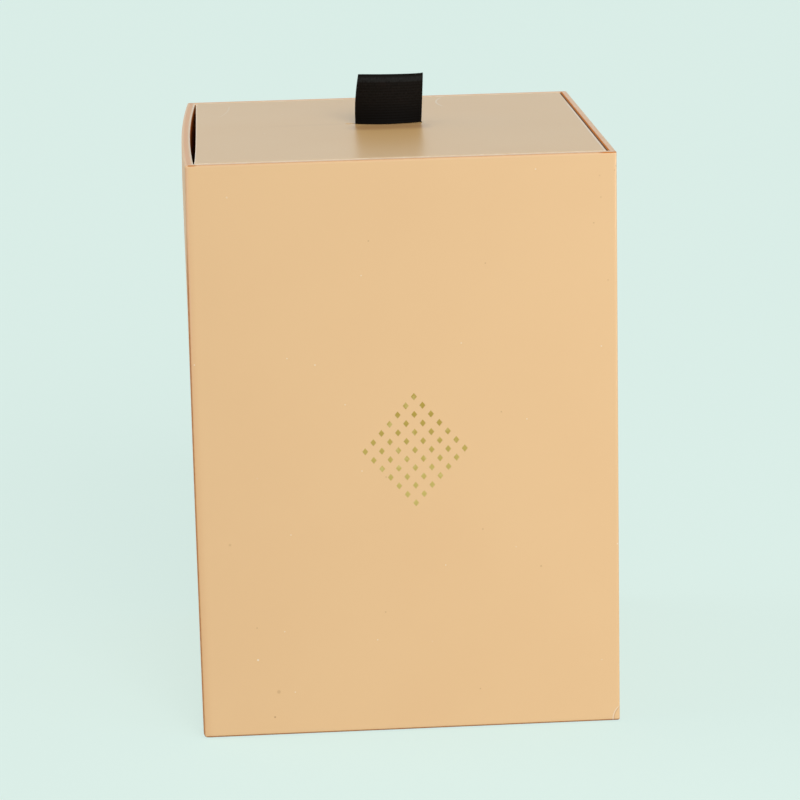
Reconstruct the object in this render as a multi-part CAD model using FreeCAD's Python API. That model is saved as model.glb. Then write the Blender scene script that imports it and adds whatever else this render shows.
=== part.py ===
import FreeCAD, Part
import math
import os

# Sliding drawer gift box, in millimetres: a greyboard sleeve that stands on its closed end, and a greyboard
# drawer that slides up out of the sleeve's mouth on a ribbon pull. Both are wrapped in paper and lined.
# +X is to the right of the front face, +Y runs from the front face to the back, and +Z is up, the way the
# drawer slides. The origin is the centre of the base. Each piece goes to parts/NAME.step.

Vector = FreeCAD.Vector

# ------------------------------------------------------------------ driving dimensions
# The box, outside
box_width = 154.0
box_depth = 154.0
box_height = 213.0

# Sheet materials
sleeve_board = 2.5
drawer_board = 2.0
wrap_paper = 0.2
lining_paper = 0.2
stay_paper = 0.1
patch_paper = 0.15

# Both shells
edge_radius = 0.8  # outside radius of the wrapped corner edges
mitre_gap = 0.15  # open line where two mitred ends of the wrap meet
stay_leg = 12.0  # each leg of the paper stay that tapes a board corner

# The sleeve
drawn_in_front = 1.3  # how far the mouth's two left corners have been drawn in
drawn_in_back = 1.8
side_belly = 0.2  # how far the left wall then stands out, at the middle of the mouth
wall_fade = 4  # the left wall's change of shape dies away downwards as this power of the height
worn_front = 2.0  # radius of the left foot edge, knocked rounder towards its front end
worn_back = 1.0
mouth_turn_in = 18.0  # wrap folded over the mouth and down inside
base_flap = 15.0  # wrap folded under the base
base_sheet_inset = 1.5  # base sheet's edge in from the box's outline
seam_from_edge = 14.0  # wrap's closing seam on the back face, in from the right edge
seam_width = 0.3

# The drawer
right_clearance = 0.3  # on the right, to the straight wall: the drawer lies near it
left_clearance = 0.2  # on the left, to the wall where it is drawn in furthest
face_clearance = 0.4  # front and back, each side
seat_clearance = 0.3  # under the drawer when it is home
tray_turn_in = 20.0  # wrap folded over the drawer's open edge and in

# The ribbon pull
ribbon_width = 25.0
ribbon_thickness = 0.4
ribbon_rise = 18.3  # top of the loop above the drawer's front panel
ribbon_from_front = 85.2  # middle of the slit, in from the box's front face
ribbon_slack = 0.5  # slit longer than the ribbon's width, each end
slit_clearance = 0.2  # slit wider than the two plies, each side
loop_half = 1.1  # half the loop's thickness where it is fattest
loop_root = 2.0  # length over which the two plies are pressed together
tail_length = 25.0  # ribbon glued down inside, each way from the slit
tail_rise = 0.5  # glued ends standing out of the slit
pull_gap = 0.3  # from the glued ends to the free loop
patch_margin = 5.0  # anchor patch past the glued ends, every side

# ------------------------------------------------------------------ derived places
half_width = box_width / 2
half_depth = box_depth / 2

# Layers of the sleeve's wall: how deep each starts, in from the outside
sleeve_lining_in = wrap_paper + sleeve_board
sleeve_fold_in = sleeve_lining_in + lining_paper
rim_width = sleeve_fold_in + wrap_paper

# Levels in the sleeve
flap_bottom = wrap_paper
board_bottom = flap_bottom + wrap_paper
board_top = box_height - wrap_paper
base_top = board_bottom + sleeve_board
floor_top = base_top + lining_paper

# The drawer's outside, and its own frame: a tray that lies on its floor with its front panel towards +Y
drawer_right = half_width - rim_width - right_clearance
drawer_left = -half_width + rim_width + max(drawn_in_front, drawn_in_back) + left_clearance
drawer_half = (drawer_right - drawer_left) / 2
drawer_shift = (drawer_right + drawer_left) / 2
drawer_face = -half_depth + rim_width + face_clearance
drawer_back = half_depth - rim_width - face_clearance
drawer_bottom = floor_top + seat_clearance
drawer_top = box_height
tray_height = drawer_back - drawer_face
tray_half_length = (drawer_top - drawer_bottom) / 2

# Layers of the drawer's wall: how deep each starts, in from the outside
tray_lining_in = wrap_paper + drawer_board
tray_fold_in = tray_lining_in + lining_paper
tray_board_top = tray_height - wrap_paper

# The ribbon, its slit and its anchor
ribbon_y = -half_depth + ribbon_from_front
ribbon_half = ribbon_width / 2
panel_inside = drawer_top - tray_lining_in
tail_under = panel_inside - ribbon_thickness
patch_under = tail_under - patch_paper
patch_half_x = ribbon_half + patch_margin
patch_half_y = tail_length + patch_margin


# ------------------------------------------------------------------ helpers
def block(low, high):
    """Box between two opposite corners."""
    size = Vector(*high) - Vector(*low)
    return Part.makeBox(size.x, size.y, size.z, Vector(*low))


def centred_block(half_x, half_y, low, high):
    """Box centred on the Z axis, from level low to level high."""
    return block((-half_x, -half_y, low), (half_x, half_y, high))


def upright_edges(solid):
    """Edges that run along Z, or close to it."""
    return [edge for edge in solid.Edges if abs(edge.tangentAt(edge.FirstParameter).z) > 0.99]


def low_edges(solid):
    """Edges of the solid's lowest face."""
    return [edge for edge in solid.Edges if edge.BoundBox.ZMax < solid.BoundBox.ZMin + wrap_paper / 2]


def rounded(solid, edges, depth_in):
    """The solid with these edges rounded to what is left of the outside radius at a depth."""
    radius = edge_radius - depth_in
    return solid.makeFillet(radius, edges) if radius > 0 else solid


def one_solid(shape):
    """Shape with its split faces merged, as a single solid."""
    merged = shape.removeSplitter()
    return merged.Solids[0] if len(merged.Solids) == 1 else merged


def corners(half_x, half_y):
    """The four corners of a rectangle about the Z axis."""
    return [(x, y) for x in (-half_x, half_x) for y in (-half_y, half_y)]


def mitre_slots(at, fold, low, high):
    """Thin slots on the diagonals of a folded margin that is fold wide, from the corners it has."""
    slots = []
    length = math.hypot(fold, fold) + mitre_gap
    for x, y in at:
        slot = block((edge_radius, -mitre_gap / 2, low), (length, mitre_gap / 2, high))
        turn = math.atan2(-math.copysign(1, y), -math.copysign(1, x))
        slot.rotate(Vector(0, 0, 0), Vector(0, 0, 1), math.degrees(turn))
        slot.translate(Vector(x, y, 0))
        slots.append(slot)
    return slots


def mouth_fold(layer, at, fold_in, top, turn_in):
    """The wrap's margin over an open edge at level top and turn_in down the inside, mitred at its corners."""
    fold_from = top - wrap_paper
    over_edge = layer(0, fold_in + wrap_paper, fold_from, top)
    over_edge = over_edge.cut(mitre_slots(at, fold_in + wrap_paper, fold_from, top))
    inside = layer(fold_in, wrap_paper, top - turn_in, fold_from)
    return over_edge.fuse(inside)


def corner_stays(layer, half_x, half_y, low, high):
    """Four paper angles that tape the board corners, under the wrap."""
    band = layer(wrap_paper - stay_paper, stay_paper, low, high)
    past = max(half_x, half_y) * 2
    across = centred_block(half_x - stay_leg, past, low, high)
    along = centred_block(past, half_y - stay_leg, low, high)
    return band.cut([across, along])


def save(name, shape):
    """Write one piece to its STEP file."""
    shape.exportStep(os.path.join("parts", name + ".step"))


# ------------------------------------------------------------------ the sleeve
def left_face(depth_in):
    """Left wall's face at a depth: flat at the base, drawn in at the mouth's corners and full between them."""
    middle = -(4 * side_belly + drawn_in_front + drawn_in_back) / 2
    face = Part.BezierSurface()
    face.increase(2, wall_fade)
    for i, drawn_in in enumerate((drawn_in_front, middle, drawn_in_back)):
        for j in range(wall_fade + 1):
            x = -half_width + depth_in + (drawn_in if j == wall_fade else 0)
            y = half_depth * (i - 1)
            z = base_top + (box_height - base_top) * j / wall_fade
            face.setPole(i + 1, j + 1, Vector(x, y, z))
    return face.toShape()


def sleeve_block(depth_in):
    """The block that the sleeve's walls bound at a depth, above the base board."""
    reach = half_depth - depth_in
    solid = block((-box_width, -reach, base_top), (half_width - depth_in, reach, box_height))
    solid = solid.common(left_face(depth_in).extrude(Vector(2 * box_width, 0, 0)))
    return rounded(solid, upright_edges(solid), depth_in)


def sleeve_layer(depth_in, thickness, low, high):
    """One layer of the sleeve's four walls, above the base board."""
    ring = sleeve_block(depth_in).cut(sleeve_block(depth_in + thickness))
    return ring.common(centred_block(box_width, box_depth, low, high))


def foot_block(depth_in, low):
    """The block that the sleeve's lower end bounds at a depth, rounder along its knocked left foot edge."""
    solid = centred_block(half_width - depth_in, half_depth - depth_in, low, base_top)
    left = min(low_edges(solid), key=lambda edge: edge.BoundBox.XMax)
    radii = [worn_front - depth_in, worn_back - depth_in]
    if left.valueAt(left.FirstParameter).y > 0:
        radii.reverse()
    solid = solid.makeFillet(*radii, [left])
    open_edges = [edge for edge in solid.Edges if edge.BoundBox.ZMin < base_top - wrap_paper]
    rest = [edge for edge in open_edges if edge.BoundBox.XMax > 0 or edge.BoundBox.YLength < half_depth]
    return rounded(solid, rest, depth_in)


def sleeve_boards():
    """Front and back boards the full width, the side boards between them."""
    inner_x = half_width - sleeve_lining_in
    inner_y = half_depth - sleeve_lining_in
    walls = sleeve_layer(wrap_paper, sleeve_board, base_top, board_top)
    ring = walls.fuse(foot_block(wrap_paper, board_bottom).cut(centred_block(inner_x, inner_y, 0, base_top)))
    front = block((-box_width, -box_depth, 0), (box_width, -inner_y, box_height))
    back = block((-box_width, inner_y, 0), (box_width, box_depth, box_height))
    left = block((-box_width, -inner_y, 0), (0, inner_y, box_height))
    right = block((0, -inner_y, 0), (box_width, inner_y, box_height))
    return {
        "sleeve_front_board": ring.common(front),
        "sleeve_back_board": ring.common(back),
        "sleeve_left_board": ring.common(left),
        "sleeve_right_board": ring.common(right),
    }


def sleeve_base_board():
    """Closed end, set between the four walls."""
    return centred_block(half_width - sleeve_lining_in, half_depth - sleeve_lining_in, board_bottom, base_top)


def sleeve_corner_stays():
    """Paper angles up the sleeve's four corners."""
    return corner_stays(sleeve_layer, half_width, half_depth, base_top, board_top)


def base_flaps():
    """The wrap's lower margin, folded under the base and mitred."""
    plate = centred_block(half_width - worn_front, half_depth - worn_front, flap_bottom, board_bottom)
    window = centred_block(half_width - base_flap, half_depth - base_flap, flap_bottom, board_bottom)
    slots = mitre_slots(corners(half_width, half_depth), base_flap, flap_bottom, board_bottom)
    return plate.cut([window] + slots)


def sleeve_wrap():
    """Outer paper of the sleeve: skin, mouth fold and base flaps, with the seam down the back."""
    core = foot_block(wrap_paper, board_bottom)
    inside = centred_block(half_width - worn_front, half_depth - worn_front, flap_bottom, base_top)
    walls = sleeve_layer(0, wrap_paper, base_top, board_top)
    mouth = [(-half_width + drawn_in_front, -half_depth), (-half_width + drawn_in_back, half_depth)]
    mouth += [(half_width, -half_depth), (half_width, half_depth)]
    fold = mouth_fold(sleeve_layer, mouth, sleeve_fold_in, box_height, mouth_turn_in)
    wrap = foot_block(0, flap_bottom).cut([core, inside]).fuse([walls, fold, base_flaps()])
    seam_x = half_width - seam_from_edge
    seam_floor = half_depth - wrap_paper / 2
    seam = block((seam_x - seam_width, seam_floor, flap_bottom), (seam_x, box_depth, box_height))
    return wrap.cut([seam, sleeve_corner_stays()])


def sleeve_lining():
    """Paper on the inner faces of the four walls, from the base board to the boards' top."""
    return sleeve_layer(sleeve_lining_in, lining_paper, base_top, board_top)


def sleeve_base_lining():
    """Paper on the inside of the closed end."""
    return centred_block(half_width - sleeve_fold_in, half_depth - sleeve_fold_in, base_top, floor_top)


def sleeve_base_sheet():
    """Sheet glued under the base, over the folded flaps."""
    return centred_block(half_width - base_sheet_inset, half_depth - base_sheet_inset, 0, flap_bottom)


# ------------------------------------------------------------------ the drawer
def tray_block(depth_in, low, high):
    """The block that the tray's walls bound at a depth, in the tray's own frame."""
    solid = centred_block(drawer_half - depth_in, tray_half_length - depth_in, low, high)
    return rounded(solid, upright_edges(solid), depth_in)


def tray_layer(depth_in, thickness, low, high):
    """One layer of the tray's four walls."""
    return tray_block(depth_in, low, high).cut(tray_block(depth_in + thickness, low, high))


def tray_cup(depth_in, top):
    """The block that the tray's floor and walls bound at a depth, rounded below."""
    solid = centred_block(drawer_half - depth_in, tray_half_length - depth_in, depth_in, top)
    return rounded(solid, upright_edges(solid) + low_edges(solid), depth_in)


def stand_up(shape):
    """Turn a piece of the tray upright, open side to the front, and put it in the sleeve."""
    placed = shape.copy()
    placed.rotate(Vector(0, 0, 0), Vector(1, 0, 0), 90)
    placed.translate(Vector(drawer_shift, drawer_back, drawer_bottom + tray_half_length))
    return placed


def at_ribbon(half_x, half_y, low, high):
    """Box centred on the place where the ribbon goes through the panel."""
    return block(
        (drawer_shift - half_x, ribbon_y - half_y, low),
        (drawer_shift + half_x, ribbon_y + half_y, high),
    )


def ribbon_slit():
    """The cut through the front panel that both plies of the ribbon pass."""
    return at_ribbon(ribbon_half + ribbon_slack, ribbon_thickness + slit_clearance, panel_inside, drawer_top)


def drawer_boards():
    """Floor, two end boards the full width, and two side boards between the ends."""
    floor = tray_cup(wrap_paper, tray_lining_in)
    walls = tray_layer(wrap_paper, drawer_board, tray_lining_in, tray_board_top)
    end = tray_half_length - tray_lining_in
    past = tray_half_length * 2
    panel = block((-past, end, 0), (past, past, past))
    rear = block((-past, -past, 0), (past, -end, past))
    left = block((-past, -end, 0), (0, end, past))
    right = block((0, -end, 0), (past, end, past))
    return {
        "drawer_floor_board": stand_up(floor),
        "drawer_front_board": stand_up(walls.common(panel)).cut(ribbon_slit()),
        "drawer_rear_board": stand_up(walls.common(rear)),
        "drawer_left_board": stand_up(walls.common(left)),
        "drawer_right_board": stand_up(walls.common(right)),
    }


def tray_stays():
    """Paper angles at the tray's four corners, in the tray's own frame."""
    return corner_stays(tray_layer, drawer_half, tray_half_length, tray_lining_in, tray_board_top)


def drawer_wrap():
    """Outer paper of the drawer: under the floor, up the walls, over the open edge and in."""
    cup = tray_cup(0, tray_board_top).cut(tray_cup(wrap_paper, tray_board_top))
    open_side = corners(drawer_half, tray_half_length)
    fold = mouth_fold(tray_layer, open_side, tray_fold_in, tray_height, tray_turn_in)
    return stand_up(cup.fuse(fold).cut(tray_stays())).cut(ribbon_slit())


def anchor_space():
    """Room that the ribbon's glued ends and their patch take up under the wall lining."""
    return at_ribbon(patch_half_x, patch_half_y, patch_under, panel_inside)


def drawer_wall_lining():
    """Paper on the inner faces of the drawer's walls, raised over the ribbon's anchor."""
    walls = stand_up(tray_layer(tray_lining_in, lining_paper, tray_lining_in, tray_board_top))
    half_x = patch_half_x + lining_paper
    half_y = patch_half_y + lining_paper
    raised = at_ribbon(half_x, half_y, patch_under - lining_paper, panel_inside)
    return walls.fuse(raised).cut(anchor_space())


def drawer_floor_lining():
    """Paper on the inside of the drawer's floor."""
    half_length = tray_half_length - tray_fold_in
    return stand_up(centred_block(drawer_half - tray_fold_in, half_length, tray_lining_in, tray_fold_in))


# ------------------------------------------------------------------ the ribbon pull
def across_ribbon(outline):
    """Solid of the ribbon's width from a closed outline in the YZ plane, drawn about the slit's middle."""
    face = Part.Face(Part.Wire(outline))
    face.translate(Vector(drawer_shift - ribbon_half, ribbon_y, 0))
    return face.extrude(Vector(ribbon_width, 0, 0))


def ribbon_tail(side):
    """One glued end: down through the slit, then turned flat against the panel's inside."""
    points = [
        (0, drawer_top + tail_rise),
        (ribbon_thickness, drawer_top + tail_rise),
        (ribbon_thickness, panel_inside),
        (tail_length, panel_inside),
        (tail_length, tail_under),
        (0, tail_under),
    ]
    corners = [Vector(0, side * y, z) for y, z in points]
    return across_ribbon(Part.makePolygon(corners + corners[:1]).Edges)


def ribbon_anchor_patch():
    """Paper glued over both ends of the ribbon."""
    return at_ribbon(patch_half_x, patch_half_y, patch_under, tail_under)


def loop_outline(half, root_half, foot):
    """Closed outline of a drop: straight from its foot, widening to half, with a round fold on top."""
    root = drawer_top + tail_rise + pull_gap + loop_root
    shoulder = drawer_top + ribbon_rise - loop_half
    lower = [(root_half, foot)] if foot < root else []
    right = [Vector(0, y, z) for y, z in lower + [(root_half, root), (half, shoulder)]]
    left = [Vector(0, -point.y, point.z) for point in reversed(right)]
    crown = Part.Arc(right[-1], Vector(0, 0, shoulder + half), left[0]).toShape()
    sides = Part.makePolygon(right).Edges + Part.makePolygon(left).Edges
    closing = [] if root_half == 0 else [Part.makeLine(left[-1], right[0])]
    return Part.__sortEdges__(sides + [crown] + closing)


def ribbon_pull():
    """The free loop: two plies pressed together at the root and folded over at the top."""
    foot = drawer_top + tail_rise + pull_gap
    root = foot + loop_root
    outside = across_ribbon(loop_outline(loop_half, ribbon_thickness, foot))
    inside = across_ribbon(loop_outline(loop_half - ribbon_thickness, 0, root))
    return outside.cut(inside)


# ------------------------------------------------------------------ every piece
def pieces():
    """All the pieces by name."""
    found = {}
    found.update(sleeve_boards())
    found["sleeve_base_board"] = sleeve_base_board()
    found["sleeve_corner_stays"] = sleeve_corner_stays()
    found["sleeve_wrap"] = sleeve_wrap()
    found["sleeve_lining"] = sleeve_lining()
    found["sleeve_base_lining"] = sleeve_base_lining()
    found["sleeve_base_sheet"] = sleeve_base_sheet()
    found.update(drawer_boards())
    found["drawer_corner_stays"] = stand_up(tray_stays())
    found["drawer_wrap"] = drawer_wrap()
    found["drawer_wall_lining"] = drawer_wall_lining()
    found["drawer_floor_lining"] = drawer_floor_lining()
    found["ribbon_tails"] = ribbon_tail(-1).fuse(ribbon_tail(1))
    found["ribbon_anchor_patch"] = ribbon_anchor_patch()
    found["ribbon_pull"] = ribbon_pull()
    return found


os.makedirs("parts", exist_ok=True)
for piece_name, piece in pieces().items():
    solid = one_solid(piece)
    print(piece_name, len(solid.Solids), "solid(s),", round(solid.Volume, 1), "mm3, valid", solid.isValid())
    save(piece_name, solid)
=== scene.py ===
# %% [markdown]
# # A sliding drawer gift box
#
# A cardboard sleeve stands on its closed end, and a drawer slides up out of its mouth on a loop of black
# ribbon. The boards, stays and linings come from the construction model and keep their shape. This script
# dresses them: it lays the peach paper over both shells, folds the ribbon, stamps the foil ornament and
# gives every surface its finish. The frame is loaded first, because every piece has to sit on it.

# %% Load the frame
import math

import bpy
import numpy as np
from mathutils import Matrix, Vector


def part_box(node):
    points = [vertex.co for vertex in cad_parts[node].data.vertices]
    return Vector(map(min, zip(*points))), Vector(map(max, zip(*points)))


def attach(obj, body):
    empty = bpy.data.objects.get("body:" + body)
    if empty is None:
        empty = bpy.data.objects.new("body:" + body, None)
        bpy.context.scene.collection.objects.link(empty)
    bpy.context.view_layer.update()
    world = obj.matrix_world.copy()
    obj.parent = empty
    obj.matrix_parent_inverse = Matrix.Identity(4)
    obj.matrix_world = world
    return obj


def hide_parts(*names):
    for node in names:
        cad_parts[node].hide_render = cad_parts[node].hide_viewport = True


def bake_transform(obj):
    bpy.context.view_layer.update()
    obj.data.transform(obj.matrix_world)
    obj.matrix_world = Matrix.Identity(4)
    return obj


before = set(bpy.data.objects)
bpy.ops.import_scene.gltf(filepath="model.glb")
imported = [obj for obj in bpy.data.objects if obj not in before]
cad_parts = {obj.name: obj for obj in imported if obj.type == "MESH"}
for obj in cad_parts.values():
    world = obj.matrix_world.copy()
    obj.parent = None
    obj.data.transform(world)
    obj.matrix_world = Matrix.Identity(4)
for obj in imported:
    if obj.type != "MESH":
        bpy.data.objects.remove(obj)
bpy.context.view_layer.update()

print("pieces from the construction:", len(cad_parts))

# %% [markdown]
# Blender works in metres, and a maker of boxes in millimetres. One name, `mm`, lets every size be read as
# the maker would say it. The outside of each shell is read from the frame, so it isn't written twice.

# %% Sizes
mm = 0.001
sleeve_low, sleeve_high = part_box("sleeve_wrap")
paper = 0.2 * mm  # thickness of the peach paper
fold_radius = 0.8 * mm  # where the paper turns a board corner
rim_radius = 0.5 * mm  # where it turns over the cut edge of a board
box_top = sleeve_high.z
half_box = sleeve_high.x
print("box:", round(2 * half_box / mm, 1), "mm wide,", round(box_top / mm, 1), "mm tall")

# %% [markdown]
# ## The camera
#
# A long lens from about 1.2 m away keeps the upright edges nearly parallel and still lets the base look a
# little narrower than the mouth. The camera looks down by 14 degrees from a little left of the middle, and
# is tipped by about one degree, as a hand-held camera is.

# %% Place the camera
def placed(name, data):
    """A new object in the scene."""
    made = bpy.data.objects.new(name, data)
    bpy.context.scene.collection.objects.link(made)
    return made


camera_place = Vector((-64.2, -1146.2, 389.0)) * mm
camera_turn = math.radians(3.334)
camera_fall = math.radians(13.825)
camera_roll = math.radians(-1.326)
lens_length = 138.12

camera_data = bpy.data.cameras.new("camera")
camera_data.lens = lens_length
camera_data.sensor_width = 36
camera_data.clip_start = 0.05
camera_data.clip_end = 50
camera = placed("camera", camera_data)
camera.matrix_world = (
    Matrix.Translation(camera_place)
    @ Matrix.Rotation(-camera_turn, 4, "Z")
    @ Matrix.Rotation(math.pi / 2 - camera_fall, 4, "X")
    @ Matrix.Rotation(camera_roll, 4, "Z")
)
bpy.context.scene.camera = camera
print("camera stands", round(camera_place.length, 3), "m from the foot of the box")

# %% [markdown]
# ## A way to write finishes
#
# A finish is a small piece of arithmetic: some noise, times a little, plus a colour. Node trees hide it in
# boxes and lines. This class wraps a node's output, so that the arithmetic can be typed, and each sign adds
# its Math node.

# %% A wire that can be added and multiplied
class Wire:
    """One output of a node. An expression on wires and numbers adds its Math nodes."""

    def __init__(self, finish, socket):
        self.finish = finish
        self.socket = socket

    def worked(self, operation, *values):
        """The result of one Math node."""
        sockets = dict(enumerate(values))
        return self.finish.node("Math", {"operation": operation}, sockets)

    def __add__(self, other):
        return self.worked("ADD", self, other)

    def __radd__(self, other):
        return self.worked("ADD", other, self)

    def __sub__(self, other):
        return self.worked("SUBTRACT", self, other)

    def __mul__(self, other):
        return self.worked("MULTIPLY", self, other)

    def __rmul__(self, other):
        return self.worked("MULTIPLY", other, self)

    def __abs__(self):
        return self.worked("ABSOLUTE", self)

    def greater(self, other):
        """The larger of this and another value."""
        return self.worked("MAXIMUM", self, other)

    def ramp(self, low, high):
        """0 below low, 1 above high and smooth between. With low above high it falls instead of rising."""
        settings = {"interpolation_type": "SMOOTHSTEP"}
        start, stop, first, last = (low, high, 0, 1) if low < high else (high, low, 1, 0)
        sockets = {0: self, 1: start, 2: stop, 3: first, 4: last}
        return self.finish.node("MapRange", settings, sockets)


# %% [markdown]
# A finish holds the nodes of a material, or of the sky. Only its `node` method adds a node, and the others
# name the few kinds that paper, board and ribbon need. Colours go through a Mix node, because a Math node
# would turn them grey.

# %% A finish and its nodes
class Finish:
    """The nodes of one material or sky, built from wires."""

    def __init__(self, holder):
        self.holder = holder
        self.holder.use_nodes = True
        self.tree = holder.node_tree
        self.tree.nodes.clear()

    def node(self, kind, settings=None, sockets=None, output=0):
        """Add a node: first its settings, then a value or a wire for each named or numbered socket."""
        made = self.tree.nodes.new("ShaderNode" + kind)
        for name, value in (settings or {}).items():
            setattr(made, name, value)
        for key, value in (sockets or {}).items():
            if isinstance(value, Wire):
                self.tree.links.new(value.socket, made.inputs[key])
            else:
                made.inputs[key].default_value = value
        return Wire(self, made.outputs[output]) if made.outputs else None

    def places(self, kind="Object"):
        """Where each point is, in metres: Object for the shell's own frame, UV for the flat sheet."""
        return self.node("TexCoord", output=kind)

    def stretched(self, places, scale):
        """The same places, scaled along each axis."""
        return self.node("Mapping", None, {"Vector": places, "Scale": scale})

    def noise(self, places, scale, detail=2.0, roughness=0.5, warp=0.0):
        """Soft noise from 0 to 1, with scale patches in each metre."""
        sockets = {"Vector": places, "Scale": scale, "Detail": detail, "Roughness": roughness}
        return self.node("TexNoise", None, sockets | {"Distortion": warp})

    def specks(self, places, pitch, size):
        """Round specks of about this size, one at most in each cell of this pitch on the flat sheet."""
        settings = {"voronoi_dimensions": "2D"}
        sockets = {"Vector": places, "Scale": 1 / pitch, "Randomness": 1.0}
        distance = self.node("TexVoronoi", settings, sockets)
        chance = self.node("TexVoronoi", settings, sockets, output="Color")
        kept = self.node("SeparateColor", None, {"Color": chance}).ramp(0.55, 0.6)
        return distance.ramp(size / pitch, 0.5 * size / pitch) * kept

    def apart(self, places, place):
        """Distance from a fixed place."""
        return self.node("VectorMath", {"operation": "DISTANCE"}, {0: places, 1: place}, "Value")

    def measure(self, name):
        """A number that the mesh stores at each of its points."""
        return self.node("Attribute", {"attribute_name": name}, output="Fac")

    def part(self, places, axis):
        """One coordinate of the places: X, Y or Z."""
        return self.node("SeparateXYZ", None, {"Vector": places}, output=axis)

    def mixed(self, first, second, share):
        """Colour that goes from first to second as share goes from 0 to 1."""
        return self.node("Mix", {"data_type": "RGBA"}, {0: share, 6: first, 7: second}, output=2)

    def layered(self, paint, *layers):
        """Paint under layers: each is a colour, and a share that says how much of it shows."""
        for layer, share in layers:
            paint = self.mixed(paint, layer, share)
        return paint

    def bump(self, height, depth):
        """Surface normal from a height that runs from 0 to 1 and stands for this depth, in metres."""
        return self.node("Bump", None, {"Height": height, "Distance": depth, "Strength": 1.0})

    def blended(self, first, second, share):
        """Shader that goes from first to second as share goes from 0 to 1."""
        return self.node("MixShader", None, {0: share, 1: first, 2: second})

    def ray(self, kind):
        """1 for rays of one kind, Camera, Glossy or Transmission, and 0 for the others."""
        return self.node("LightPath", output=f"Is {kind} Ray")

    def worn_by(self, shader, kind="OutputMaterial"):
        """Hand a finished shader to the surface or the sky, and give back what wears it."""
        self.node(kind, None, {"Surface": shader})
        return self.holder

    def shader(self, **sockets):
        """The shader itself. An underscore in a socket's name stands for a space."""
        named = {name.replace("_", " "): value for name, value in sockets.items()}
        return self.node("BsdfPrincipled", None, named)

    def surface(self, **sockets):
        """A whole finish from one shader."""
        return self.worn_by(self.shader(**sockets))


def new_finish(name):
    """A finish for a new material."""
    return Finish(bpy.data.materials.new(name))


def colour(red, green, blue):
    """A colour for a socket, from three linear shares of light."""
    return (red, green, blue, 1.0)


print("finishes can be written as expressions")

# %% [markdown]
# ## Peach paper
#
# Both shells are wrapped in coated paper with a satin face. Three things tell the eye that it isn't painted
# plastic: a very fine tooth that spreads the shine, broad clouds where the glue has dried unevenly, and wear
# where it is folded and held. The mesh says where that wear is, and where light and shade are painted, in
# three stored numbers. `fold` is 1 where a deep fold shows the darker stock, and also where shade is painted
# into corners, gaps and the foot; from 1.5 on the paint turns matt orange, the painted shade of the narrow
# gaps beside the drawer. `edge` is 1 where an edge is painted pale, partly rubbed by hands and partly a
# painted highlight. `rim` is 1 where the paper is turned over a cut edge of board, and so is less smooth,
# and it also makes the left wall's upper half rougher and painted pinker, a painted sheen.

# %% Colours of the peach paper
sleeve_peach = colour(0.80, 0.52, 0.268)
drawer_peach_shaded = colour(0.765, 0.480, 0.203)  # the same peach painted a little deeper, as painted shade on the panel on top
# darker peach for deep folds, glue clouds and painted shade
peach_fold_and_shade = colour(0.44, 0.135, 0.022)
peach_gap_shade = colour(0.62, 0.20, 0.022)  # matt orange painted shade for the narrow gaps beside the drawer
# pale cream for rubbed edges and for painted highlights on edges
peach_wear_and_highlight = colour(0.97, 0.86, 0.70)
peach_rim = colour(0.82, 0.51, 0.31)
# these two also paint highlights and shade, in the marks below
dust_and_highlight = colour(0.90, 0.82, 0.72)
dirt_and_shade = colour(0.34, 0.14, 0.05)
print("the sleeve's peach in linear light:", sleeve_peach[:3])

# %% [markdown]
# A handled box also has single marks: specks, a short crease by a bottom corner, faint arcs that a
# fingernail left on the panel. Some marks are painted light and shade: the crease's pale and dark sides,
# shades on the panel by the ribbon, and a pale line along its right edge. Each is a place, a size and a
# strength; with a positive strength it is darker, for dirt and for painted shade, and with a negative
# strength it is paler than the paper, for dust and for painted highlight. An arc is a piece of a circle's
# line that fades on both sides of its middle point.

# %% Marks on a surface
def mark(shape, strength):
    """A darker layer for a positive strength, for dirt and for painted shade, and a paler one for a negative
    strength, for dust and for painted highlight.
    """
    return dirt_and_shade if strength > 0 else dust_and_highlight, shape * abs(strength)


def spots_on(finish, places, spots):
    """Layers of round spots: each is (place, radius, strength)."""
    return [
        mark(finish.apart(places, place).ramp(radius, 0.3 * radius), strength)
        for place, radius, strength in spots
    ]


def arcs_on(finish, places, arcs):
    """Layers of arcs: each is (centre, radius, width, middle point, reach, strength)."""
    layers = []
    for centre, radius, width, middle, reach, strength in arcs:
        line = abs(finish.apart(places, centre) - radius).ramp(width, 0.2 * width)
        near = finish.apart(places, middle).ramp(reach, 0.6 * reach)
        layers.append(mark(line * near, strength))
    return layers


print("marks are spots and arcs")

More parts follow.
